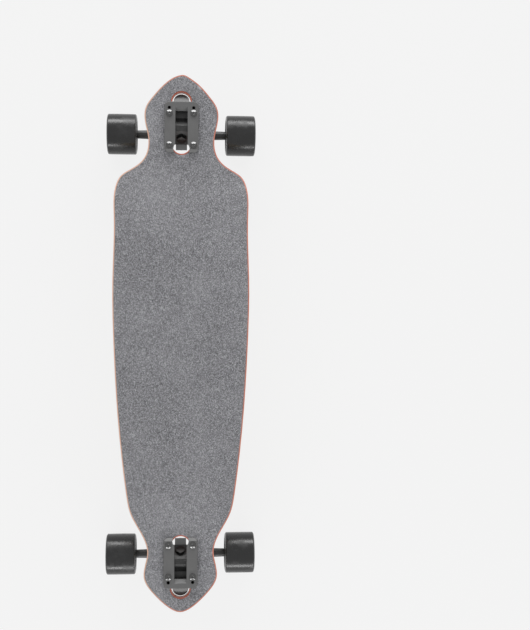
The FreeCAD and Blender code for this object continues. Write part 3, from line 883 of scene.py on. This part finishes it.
BUSHING = Moulded("Bushing urethane", "bushing_urethane", grey(0.045), grey(0.1), 0.38)
NYLON = Moulded("Black nylon", "black_nylon", grey(0.025), grey(0.06), 0.5)
CORE = Moulded("Wheel core", "black_nylon", grey(0.1), grey(0.2), 0.32)
# black discs in the spare bolt holes: a dark sheet put there as painted shade
PLUG_SHADE = Moulded("Hole plug painted shade", "black_nylon", grey(0.01), grey(0.016), 0.6)
WHEEL = WheelUrethane("Wheel urethane", "wheel_urethane")


def corners(node: str) -> tuple[Array, Array]:
    """Lowest and highest corner of a CAD node's box."""
    low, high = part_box(node)
    return np.array(low), np.array(high)


def named(rows: Sequence[dict], name: str) -> dict:
    """The row of that name."""
    return next(row for row in rows if row["name"] == name)


def unit(vector: Array) -> Array:
    """A vector's direction."""
    return vector / np.linalg.norm(vector)


def new_object(mesh: Mesh, *finishes: Finish) -> Piece:
    """Show a mesh in the scene.

    Args:
        mesh: mesh with its place in it, which also names the object.
        finishes: finishes of its faces, in order.

    Returns:
        The object, at the origin.
    """
    made = bpy.data.objects.new(mesh.name, mesh)
    bpy.context.scene.collection.objects.link(made)
    for finish in finishes:
        mesh.materials.append(finish.material())
    return made


def smooth(mesh: Mesh) -> None:
    """Shade all of a mesh's faces smooth."""
    mesh.polygons.foreach_set("use_smooth", np.ones(len(mesh.polygons), bool))


def merge_corners(mesh: Mesh, flatten: bool = False, recalculate: bool = False) -> None:
    """Merge a mesh's shared corners and shade it smooth.

    Args:
        mesh: mesh to work on.
        flatten: whether flat areas are joined.
        recalculate: whether the faces are turned to point outwards.
    """
    shape = bmesh.new()
    shape.from_mesh(mesh)
    bmesh.ops.remove_doubles(shape, verts=shape.verts, dist=MERGE_DISTANCE)
    if flatten:
        bmesh.ops.dissolve_limit(shape, angle_limit=FLAT_ANGLE, verts=shape.verts, edges=shape.edges)
    if recalculate:
        bmesh.ops.recalc_face_normals(shape, faces=shape.faces)
    shape.to_mesh(mesh)
    shape.free()
    smooth(mesh)


def ring_quads(rows: int, columns: int, closed_rows: bool) -> Array:
    """Quads of a grid whose columns wrap round: quad (i, j) joins rows i, i + 1 and columns j, j + 1.

    Args:
        rows: rows of points.
        columns: points in a row.
        closed_rows: whether the last row joins the first.

    Returns:
        Array of quads by four point numbers.
    """
    index = np.arange(rows * columns).reshape(rows, columns)
    index = np.hstack([index, index[:, :1]])
    if closed_rows:
        index = np.vstack([index, index[:1]])
    return np.stack([index[:-1, :-1], index[:-1, 1:], index[1:, 1:], index[1:, :-1]], axis=-1).reshape(-1, 4)


def grid_mesh(name: str, points: Array, closed_rows: bool) -> Mesh:
    """Mesh of a grid of points whose columns wrap round.

    The winding is turned where the volume, a sixth of the sum of the corner products, is negative.

    Args:
        name: name of the mesh.
        points: array of rows by columns by three coordinates.
        closed_rows: whether the last row joins the first.

    Returns:
        The mesh, smooth shaded.
    """
    quads = ring_quads(*points.shape[:2], closed_rows)
    flat = points.reshape(-1, 3)
    corner = flat[quads] - flat.mean(0)
    product = (np.cross(corner[:, 0], corner[:, 1]) * corner[:, 2]).sum()
    product += (np.cross(corner[:, 0], corner[:, 2]) * corner[:, 3]).sum()
    if product < 0:
        quads = quads[:, ::-1]
    mesh = bpy.data.meshes.new(name)
    mesh.from_pydata(flat.tolist(), [], quads.tolist())
    smooth(mesh)
    return mesh


def rounded(profile: Sequence[tuple[float, float, float]], steps: int) -> Array:
    """Closed profile with each corner rounded.

    A corner (a, b, r) becomes a quadratic curve between the points where a circle of radius r touches both
    sides; the tangent length is r over the tangent of half the angle between the sides.

    Args:
        profile: place and rounding radius of each corner, in order.
        steps: points on each curve.

    Returns:
        Array of points by two coordinates.
    """
    spots = np.array([corner[:2] for corner in profile])
    radii = np.array([corner[2] for corner in profile])
    back = np.roll(spots, 1, axis=0) - spots
    ahead = np.roll(spots, -1, axis=0) - spots
    back_length = np.linalg.norm(back, axis=1, keepdims=True)
    ahead_length = np.linalg.norm(ahead, axis=1, keepdims=True)
    back = back / back_length
    ahead = ahead / ahead_length
    half = np.arccos(np.clip((back * ahead).sum(1), -1, 1)) / 2
    room = CORNER_ROOM * np.minimum(back_length, ahead_length)[:, 0]
    tangent = np.minimum(radii / np.tan(half), room)[:, None]
    weight = np.linspace(0, 1, steps)[None, :, None]
    start = (spots + back * tangent)[:, None]
    end = (spots + ahead * tangent)[:, None]
    curve = start * (1 - weight) ** 2 + 2 * spots[:, None] * weight * (1 - weight) + end * weight ** 2
    return curve.reshape(-1, 2)


def turned(profile: Array, centre: Sequence[float], axis: Sequence[float], segments: int) -> Array:
    """Grid of a profile of (radius, station) turned about an axis: centre + station axis + radius spoke.

    Args:
        profile: array of points by (radius, station).
        centre: point of the axis at station zero.
        axis: direction of the axis.
        segments: columns round the axis.

    Returns:
        Array of profile points by segments by three coordinates.
    """
    line = unit(np.array(axis, float))
    first = unit(np.cross(line, (0.0, 1.0, 0.0) if abs(line[1]) < 0.9 else (1.0, 0.0, 0.0)))
    second = np.cross(line, first)
    angle = np.arange(segments) * 2 * np.pi / segments
    spoke = np.cos(angle)[:, None] * first + np.sin(angle)[:, None] * second
    radius, station = profile.T[..., None, None]
    return np.array(centre, float) + station * line + radius * spoke[None]


def turned_set(name: str, profile: Array, hexed: Sequence[bool], centres: Array, segments: int) -> Mesh:
    """Mesh of one upright turned shape repeated at several centres.

    Point (i, j) of a copy = centre + station_i up + radius_i spoke_j; where a row is hexed, its radius is
    multiplied by cos 30 / cos(turn within its sixth - 30), which draws a hexagon through the corner radius.

    Args:
        name: name of the mesh.
        profile: array of points by (radius, station), from the axis round to the axis again.
        hexed: which of the profile's points go round as a hexagon.
        centres: array of copies by three coordinates.
        segments: columns round the axis.

    Returns:
        The mesh, closed at its poles and smooth shaded.
    """
    angle = np.arange(segments) * 2 * np.pi / segments
    sixth = np.pi / 3
    hexagon = np.cos(sixth / 2) / np.cos(angle % sixth - sixth / 2)
    radius = profile[:, :1] * np.where(np.array(hexed)[:, None], hexagon[None], 1.0)
    rise = np.broadcast_to(profile[:, 1:], radius.shape)
    copy = np.stack([radius * np.cos(angle), radius * np.sin(angle), rise], axis=-1).reshape(-1, 3)
    points = (centres[:, None] + copy[None]).reshape(-1, 3)
    quads = ring_quads(len(profile), segments, closed_rows=False)
    faces = (np.arange(len(centres))[:, None, None] * len(copy) + quads).reshape(-1, 4)
    mesh = bpy.data.meshes.new(name)
    mesh.from_pydata(points.tolist(), [], faces.tolist())
    merge_corners(mesh, recalculate=True)
    mesh.set_sharp_from_angle(angle=EDGE_ANGLE)
    return mesh


def node_copy(node: str, name: str, flatten: bool) -> Mesh:
    """Copy of a CAD node's triangles with their shared corners merged.

    Args:
        node: CAD node to copy.
        name: name of the copy.
        flatten: whether flat areas are joined.

    Returns:
        The copy.
    """
    source = frame["nodes"][node].data
    points = np.empty(len(source.vertices) * 3, np.float32)
    source.vertices.foreach_get("co", points)
    triangles = np.empty(len(source.loops), np.int32)
    source.loops.foreach_get("vertex_index", triangles)
    mesh = bpy.data.meshes.new(name)
    mesh.from_pydata(points.reshape(-1, 3).tolist(), [], triangles.reshape(-1, 3).tolist())
    merge_corners(mesh, flatten)
    return mesh


def eased_copy(node: str, body: str, finishes: Sequence[Finish], width: float, steps: int = 2) -> None:
    """Stand a node's shape with its sharp edges eased in for the node.

    Args:
        node: CAD node to stand for.
        body: CAD body that the piece rides on.
        finishes: finish of the faces, then of the eased edges if it differs.
        width: width of the easing.
        steps: facets across it.
    """
    piece = new_object(node_copy(node, node + "_eased", flatten=True), *finishes)
    bevel = piece.modifiers.new("Eased edges", "BEVEL")
    bevel.width = width
    bevel.segments = steps
    bevel.limit_method = "ANGLE"
    bevel.angle_limit = EDGE_ANGLE
    bevel.material = len(finishes) - 1 if len(finishes) > 1 else -1
    even = piece.modifiers.new("Flat faces stay flat", "WEIGHTED_NORMAL")
    even.keep_sharp = False
    settle(piece, body, finishes[0], node)


def cast_copy(node: str, body: str, finish: Finish, voxel: float, rounds: int) -> None:
    """Stand a node's shape with its corners rounded as a casting's in for the node.

    Args:
        node: CAD node to stand for.
        body: CAD body that the piece rides on.
        finish: finish of the casting.
        voxel: grid size of the even skin that is laid over the shape.
        rounds: how often the skin is smoothed.
    """
    raw = new_object(node_copy(node, node + "_raw", flatten=False))
    skin = raw.modifiers.new("Even skin", "REMESH")
    skin.mode = "VOXEL"
    skin.voxel_size = voxel
    fillets = raw.modifiers.new("Fillets", "SMOOTH")
    fillets.factor = 0.5
    fillets.iterations = rounds
    bpy.context.view_layer.update()
    cast = bpy.data.meshes.new_from_object(raw.evaluated_get(bpy.context.evaluated_depsgraph_get()))
    cast.name = node + "_cast"
    bpy.data.objects.remove(raw)
    smooth(cast)
    settle(new_object(cast, finish), body, finish, node)


def settle(piece: Piece, body: str, finish: Finish, *nodes: str) -> None:
    """Make a piece ride on a body and hide the CAD nodes that it stands for.

    Args:
        piece: piece to settle.
        body: CAD body that it rides on.
        finish: not used.
        nodes: CAD nodes that it stands for.
    """
    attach(piece, body)
    if nodes:
        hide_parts(*nodes)
    log.info("%s rides on %s", piece.name, body)


def dress_node(node: str, finish: Finish) -> None:
    """Give a CAD node that stays in view its finish.

    Args:
        node: CAD node to dress.
        finish: finish that it gets.
    """
    materials = frame["nodes"][node].data.materials
    materials.clear()
    materials.append(finish.material())
    log.info("%s is dressed as %s", node, finish.name)


@dataclass
class Deck:
    """Laminated deck with its grip, layer by layer from the top."""

    layers: tuple[tuple[str, Finish], ...] = (
        ("grip_tape", GRIP), ("top_veneer", RED_VENEER), ("long_grain_plies", MAPLE),
        ("cross_grain_plies", CROSS_MAPLE), ("bottom_veneer", UNDERSIDE))

    def dress(self) -> None:
        """Finish every layer of the deck."""
        for node, finish in self.layers:
            dress_node(node, finish)


@dataclass
class Truck:
    """One truck: baseplate, steering gear and hanger."""

    end: End
    body: str = "board"
    plate_easing: float = 0.7 * MM
    plate_steps: int = 3
    fastener_easing: float = 0.3 * MM
    cast_voxel: float = 0.8 * MM
    cast_rounds: int = 10
    bushing_radius: float = 11.75 * MM
    bushing_cone_radius: float = 9.25 * MM
    bushing_bore: float = 4.8 * MM
    bushing_near: float = 4.0 * MM
    bushing_far: float = 17.0 * MM
    bushing_room: float = 0.1 * MM
    bushing_bore_rounding: float = 0.4 * MM
    bushing_rim_rounding: float = 1.2 * MM
    bushing_belly_rounding: float = 6.0 * MM
    bushing_segments: int = 72
    bushing_arc: int = 9
    bolt_head_radius: float = 5.7 * MM
    bolt_radius: float = 2.4 * MM
    bolt_flank_radius: float = 3.0 * MM
    bolt_rim_height: float = 0.9 * MM
    bolt_flank_height: float = 2.5 * MM
    bolt_crown_height: float = 2.95 * MM
    bolt_socket_radius: float = 1.85 * MM
    bolt_socket_floor: float = 0.9 * MM
    bolt_easing: float = 0.4 * MM
    bolt_segments: int = 48
    flange_top: float = 96.0 * MM
    plug_lift: float = 0.4 * MM
    plug_height: float = 2.2 * MM
    plug_room: float = 0.05 * MM
    plug_segments: int = 32

    def node(self, name: str) -> str:
        """Full name of one of this truck's nodes."""
        return f"{self.end.value}_{name}"

    @property
    def axle_body(self) -> str:
        """CAD body that the hanger belongs to."""
        return self.node("axle_set")

    def build(self) -> None:
        """Make the pieces that stand for plain solids."""
        # The baseplate's eased edges take the near-black edge finish, painted shade along its edges.
        eased_copy(self.node("baseplate"), self.body, [PLATE_PAINT, PLATE_EDGE_SHADE], self.plate_easing,
                   self.plate_steps)
        for name, finish in (("kingpin", KINGPIN_STEEL), ("kingpin_nut", ZINC), ("bushing_washers", ZINC)):
            eased_copy(self.node(name), self.body, [finish], self.fastener_easing)
        cast_copy(self.node("hanger"), self.axle_body, HANGER_PAINT, self.cast_voxel, self.cast_rounds)
        eased_copy(self.node("axle_nuts"), self.axle_body, [ZINC], self.fastener_easing)
        self.bolts()
        # black discs under the spare holes: painted shade
        self.hole_plugs()
        self.bushing("boardside_bushing", -1, self.bushing_radius)
        self.bushing("roadside_bushing", 1, self.bushing_cone_radius)

    def bolts(self) -> None:
        """Four mounting bolts: a hexagon socket in a low crown, a sloped flank, a short rim and the shank."""
        node = self.node("mounting_bolts")
        low, high = corners(node)
        reach = (high - low)[:2] / 2 - self.bolt_head_radius
        middle = (low + high)[:2] / 2
        hands = np.array([(along, across) for along in (-1, 1) for across in (-1, 1)])
        centres = np.column_stack([middle + hands * reach, np.full(len(hands), self.flange_top)])
        tip = low[2] - self.flange_top
        ease = self.bolt_easing
        profile = np.array([
            (0.0, self.bolt_socket_floor),
            (self.bolt_socket_radius, self.bolt_socket_floor),
            (self.bolt_socket_radius, self.bolt_crown_height - ease / 2),
            (self.bolt_socket_radius + ease / 2, self.bolt_crown_height),
            (self.bolt_flank_radius - ease / 2, self.bolt_flank_height + ease / 2),
            (self.bolt_flank_radius + ease / 2, self.bolt_flank_height - ease / 3),
            (self.bolt_head_radius - ease, self.bolt_rim_height + ease / 2),
            (self.bolt_head_radius - ease / 4, self.bolt_rim_height),
            (self.bolt_head_radius, self.bolt_rim_height - ease),
            (self.bolt_head_radius, 0.0),
            (self.bolt_radius, 0.0),
            (self.bolt_radius, tip + ease),
            (self.bolt_radius - ease, tip),
            (0.0, tip),
        ])
        hexed = [0 < row < 3 for row in range(len(profile))]
        mesh = turned_set(node + "_turned", profile, hexed, centres, self.bolt_segments)
        settle(new_object(mesh, BLACK_STEEL), self.body, BLACK_STEEL, node)

    def hole_plugs(self) -> None:
        """Two black discs under the deck's spare bolt holes, a dark sheet as painted shade so the holes look
        black from above.
        """
        mount = named(frame["record"]["mounts"], self.node("spare_holes"))
        along = mount["pos_m"][0]
        aside = mount["dims"]["spacing_y_mm"] * MM / 2
        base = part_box("bottom_veneer")[0][2] + self.plug_lift
        centres = np.array([(along, hand * aside, base) for hand in (-1, 1)])
        radius = mount["dims"]["hole_r_mm"] * MM - self.plug_room
        profile = np.array([(0.0, self.plug_height), (radius, self.plug_height), (radius, 0.0), (0.0, 0.0)])
        hexed = [False] * len(profile)
        mesh = turned_set(self.node("hole_plugs"), profile, hexed, centres, self.plug_segments)
        settle(new_object(mesh, PLUG_SHADE), self.body, PLUG_SHADE)

    def bushing(self, name: str, hand: int, far_radius: float) -> None:
        """One bushing: a rounded, bulged profile turned about the kingpin.

        Args:
            name: node that the bushing stands for.
            hand: -1 on the deck's side of the ring, 1 on the road's side.
            far_radius: radius at the end away from the ring.
        """
        joint = named(frame["joints"], self.node("steer"))
        centre = np.array(joint["pos_m"])
        pin = np.cross(np.array(joint["axis"]), (0.0, 1.0, 0.0))
        pin = -pin * np.sign(pin[2])
        near = self.bushing_near + self.bushing_room
        far = self.bushing_far - self.bushing_room
        profile = rounded([
            (self.bushing_bore, hand * near, self.bushing_bore_rounding),
            (self.bushing_radius - self.bushing_room, hand * near, self.bushing_rim_rounding),
            ((self.bushing_radius + far_radius) / 2, hand * (near + far) / 2, self.bushing_belly_rounding),
            (far_radius - self.bushing_room, hand * far, self.bushing_rim_rounding),
            (self.bushing_bore, hand * far, self.bushing_bore_rounding),
        ], self.bushing_arc)
        points = turned(profile, centre, pin, self.bushing_segments)
        piece = new_object(grid_mesh(self.node(name) + "_cast", points, closed_rows=True), BUSHING)
        self.body
        self.axle_body
        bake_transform(piece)
        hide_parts(self.node(name))
        log.info("%s bends between %s and %s", piece.name, self.body, self.axle_body)

    def dress(self) -> None:
        """Finish the nodes that stay in view."""
        for name, finish in (("pivot_cup", NYLON), ("mounting_nuts", KINGPIN_STEEL), ("axle", AXLE_STEEL),
                             ("speed_rings", ZINC)):
            dress_node(self.node(name), finish)


@dataclass
class Wheel:
    """One wheel with its bearings."""

    end: End
    side: Side
    crown: float = 0.15 * MM
    tread_half: float = 22.5 * MM
    lip_radius: float = 28.75 * MM
    groove: float = 0.6 * MM
    face_drop: float = 0.75 * MM
    face_ring: float = 2.2 * MM
    dish: float = 5.0 * MM
    mouth: float = 12.5 * MM
    shoulder_depth: float = 6.0 * MM
    core_easing: float = 0.35 * MM
    sharp_angle: float = math.radians(40)
    segments: int = 160
    tread_points: int = 7
    lip_points: int = 14

    def node(self, name: str) -> str:
        """Full name of one of this wheel's nodes."""
        return f"{self.end.value}_{self.side.value}_{name}"

    @property
    def body(self) -> str:
        """CAD body of the wheel."""
        return self.node("wheel")

    def half_profile(self, rim: float, half: float, shoulder: float, seat: float) -> Array:
        """Half of the tyre's section, from the middle of the tread over the lip and face into the bore.

        Tread: radius = rim - crown (station / tread_half)^2. Lip: a quarter ellipse from tread to face.

        Args:
            rim: radius of the tread.
            half: half width of the wheel.
            shoulder: station of the core's shoulder.
            seat: radius of the core's barrel.

        Returns:
            Array of points by (radius, station).
        """
        flat = np.linspace(0, 1, self.tread_points)
        tread = np.stack([rim - self.crown * flat ** 2, self.tread_half * flat], axis=-1)
        turn = np.linspace(0, np.pi / 2, self.lip_points)[1:]
        edge = rim - self.crown
        lip = np.stack([self.lip_radius + (edge - self.lip_radius) * np.cos(turn),
                        self.tread_half + (half - self.tread_half) * np.sin(turn)], axis=-1)
        floor = half - self.dish
        slope = self.dish / (self.lip_radius - self.mouth)
        inner = self.lip_radius - 2 * self.groove
        face_start = half - slope * 2 * self.groove
        ring = self.mouth + self.face_ring
        ring_height = floor + slope * self.face_ring
        face = np.array([
            (self.lip_radius - self.groove, half - self.groove / 4),
            (inner, face_start - self.face_drop),
            (inner - self.groove, face_start - self.face_drop),
            (ring + self.groove, ring_height - self.face_drop / 2),
            (ring, ring_height),
            (self.mouth + self.groove, floor),
            (self.mouth, floor - self.groove),
            (self.mouth, shoulder),
            (seat, shoulder),
        ])
        return np.vstack([tread, lip, face])

    def build(self) -> None:
        """Turn the tyre about the axle and ease the core."""
        tyre, core = self.node("tyre"), self.node("core")
        low, high = corners(tyre)
        _, half, rim = (high - low) / 2
        centre = (low + high) / 2
        core_low, core_high = corners(core)
        _, core_half, seat = (core_high - core_low) / 2
        hand = 1.0 if self.side is Side.LEFT else -1.0
        upper = self.half_profile(rim, half, core_half - self.shoulder_depth, seat)
        profile = np.vstack([upper, (upper * (1, -1))[:0:-1]])
        points = turned(profile, centre, (0.0, hand, 0.0), self.segments)
        mesh = grid_mesh(tyre + "_cast", points, closed_rows=True)
        place = (points - centre)[..., [0, 2, 1]] * (1.0, 1.0, hand)
        attribute = mesh.attributes.new(WHEEL_PLACE, "FLOAT_VECTOR", "POINT")
        attribute.data.foreach_set("vector", place.astype(np.float32).ravel())
        mesh.set_sharp_from_angle(angle=self.sharp_angle)
        settle(new_object(mesh, WHEEL), self.body, WHEEL, tyre)
        eased_copy(core, self.body, [CORE], self.core_easing)

    def dress(self) -> None:
        """Finish the nodes that stay in view."""
        for name, finish in (("outer_races", BEARING_STEEL), ("inner_races", BEARING_STEEL),
                             ("balls", BEARING_STEEL), ("shields", SHIELD), ("spacer", AXLE_STEEL)):
            dress_node(self.node("bearing_" + name), finish)


@dataclass(frozen=True)
class EndLamp:
    """Soft lamp beyond one end of the board, facing the middle of the floor."""

    name: str
    station: float
    height: float
    width: float
    tall: float
    power: float


@dataclass
class Studio:
    """Pale floor, soft lamps and the camera straight above the board."""

    picture_width: int = 530
    picture_height: int = 630
    board_pixel: tuple[float, float] = (181.05, 343.55)
    board_turn: float = math.radians(0.14)
    pixel_size: float = 1.7027 * MM
    camera_rise: float = 1.8
    deck_height: float = 0.09
    sensor: float = 36.0
    backdrop: float = 0.925
    floor_radius: float = 14.0
    floor_rings: tuple[float, ...] = (0.0005, 0.1, 0.4, 1.0)
    floor_segments: int = 64
    floor_albedo: float = 0.8
    floor_glow: float = 0.9
    plain_floor: Pair = (1.4, 5.0)
    fill: float = 0.42
    lamps: tuple[EndLamp, ...] = (
        EndLamp("Nose lamp", 4.0, 1.22, 6.0, 1.3, 215.0),
        EndLamp("Tail lamp", -2.4, 0.71, 3.0, 0.34, 36.0),
    )

    def shown(self, bench: NodeBench) -> Socket:
        """Mask of the rays that should meet the plain backdrop: from the camera, gloss and glass.

        Args:
            bench: bench on the floor's or the world's tree.

        Returns:
            The mask's socket.
        """
        path = bench.add("ShaderNodeLightPath").outputs
        seen = bench.most(path["Is Camera Ray"], path["Is Glossy Ray"])
        return bench.most(seen, path["Is Transmission Ray"])

    def build_floor(self) -> None:
        """Round floor: rings of points at set shares of the radius, plain as the backdrop far out."""
        radii = np.array(self.floor_rings) * self.floor_radius
        rings = np.column_stack([radii, np.zeros_like(radii)])
        points = turned(rings, (0.0, 0.0, 0.0), (0.0, 0.0, 1.0), self.floor_segments)
        mesh = grid_mesh("studio_floor", points, closed_rows=False)
        paper = bpy.data.materials.new("Pale studio paper")
        paper.use_nodes = True
        tree = paper.node_tree
        tree.nodes.remove(tree.nodes["Principled BSDF"])
        bench = NodeBench(tree)
        matte = bench.add("ShaderNodeBsdfDiffuse", Color=grey(self.floor_albedo))
        glow = bench.add("ShaderNodeEmission", Color=grey(self.backdrop), Strength=1.0)
        even = bench.span(bench.distance(bench.place()), *self.plain_floor, self.floor_glow, 1.0)
        both = bench.add("ShaderNodeMixShader", Fac=bench.times(self.shown(bench), even))
        bench.feed(both.inputs[1], matte.outputs[0])
        bench.feed(both.inputs[2], glow.outputs[0])
        bench.feed(tree.nodes["Material Output"].inputs["Surface"], both.outputs[0])
        mesh.materials.append(paper)
        floor = new_object(mesh)

    def build_world(self) -> None:
        """Even fill light, seen as the pale backdrop."""
        world = bpy.data.worlds.new("Studio")
        bpy.context.scene.world = world
        world.use_nodes = True
        bench = NodeBench(world.node_tree)
        level = bench.span(self.shown(bench), 0.0, 1.0, self.fill, self.backdrop)
        bench.fill(world.node_tree.nodes["Background"], {"Color": grey(1.0), "Strength": level})

    def build_lamps(self) -> None:
        """A wide soft lamp beyond each end of the board."""
        for plan in self.lamps:
            data = bpy.data.lights.new(plan.name, "AREA")
            data.shape = "RECTANGLE"
            data.size = plan.width
            data.size_y = plan.tall
            data.energy = plan.power
            lamp = bpy.data.objects.new(data.name, data)
            lamp.location = (plan.station, 0.0, plan.height)
            lamp.rotation_euler = (-lamp.location).to_track_quat("-Z", "Y").to_euler()
            lamp.visible_camera = False
            bpy.context.scene.collection.objects.link(lamp)

    def build_camera(self) -> None:
        """Camera above the board's middle line, turned aside so that the board shows left of the middle."""
        data = bpy.data.cameras.new("Camera")
        data.sensor_width = self.sensor
        right = (self.picture_width / 2 - self.board_pixel[0]) * self.pixel_size
        up = (self.board_pixel[1] - self.picture_height / 2) * self.pixel_size
        turn = math.asin(right / self.camera_rise)
        depth = self.camera_rise * math.cos(turn)
        data.lens = self.sensor * depth / (self.picture_height * self.pixel_size)
        camera = bpy.data.objects.new("Camera", data)
        camera.location = (up, 0.0, self.deck_height + self.camera_rise)
        axes = Matrix(((0.0, -math.cos(turn), math.sin(turn)), (1.0, 0.0, 0.0),
                       (0.0, math.sin(turn), math.cos(turn)))).transposed()
        camera.rotation_euler = (Matrix.Rotation(self.board_turn, 3, "Z") @ axes).to_euler()
        bpy.context.scene.collection.objects.link(camera)
        bpy.context.scene.camera = camera

    def build(self) -> None:
        """Set up floor, light and camera."""
        bpy.context.scene.view_settings.view_transform = "Standard"
        self.build_world()
        self.build_floor()
        self.build_lamps()
        self.build_camera()
        log.info("studio is set")


def main() -> None:
    """Build and dress the board, piece by piece."""
    logging.basicConfig(level=logging.INFO, format="%(name)s: %(message)s")
    Studio().build()
    Deck().dress()
    for end in End:
        truck = Truck(end)
        truck.build()
        truck.dress()
        for side in Side:
            wheel = Wheel(end, side)
            wheel.build()
            wheel.dress()


if __name__ == "__main__":
    main()
